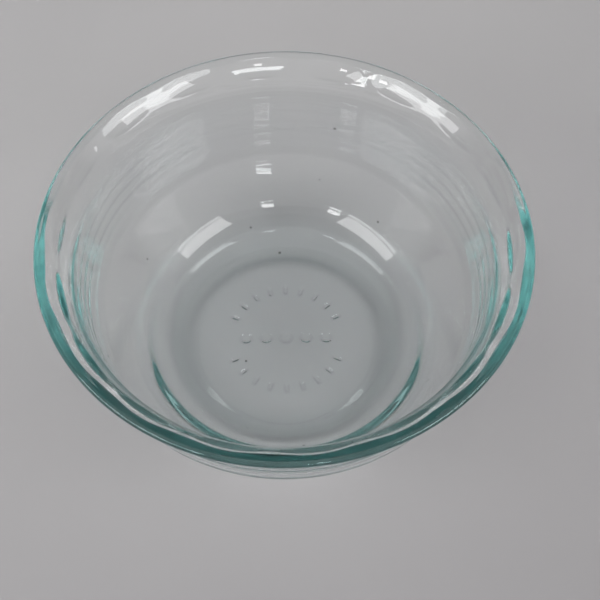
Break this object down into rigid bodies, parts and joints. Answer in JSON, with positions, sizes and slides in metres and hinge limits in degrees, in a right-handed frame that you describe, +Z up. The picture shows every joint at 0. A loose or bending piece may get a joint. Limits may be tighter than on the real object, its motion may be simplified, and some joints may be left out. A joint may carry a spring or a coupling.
{
  "type": "bowl",
  "caption": "Small pressed glass prep bowl with a curved side, fine raised bands under a flared rim, thumbprints inside the lip and a recessed underside",
  "frame": {"origin": "on the bowl's axis, in the plane of the foot ring that it rests on", "axes": "+Z up along the bowl's axis, out of its mouth; +X to the right and -Y towards the viewer of the picture"},
  "size_m": [0.114, 0.114, 0.051],
  "materials": {
    "glass": "clear pressed soda-lime glass with a faint green-blue tint, fire polished, deepest in colour where it is seen through the lip"
  },
  "bodies": {
    "root": {"bowl": "glass"}
  },
  "joints": []
}
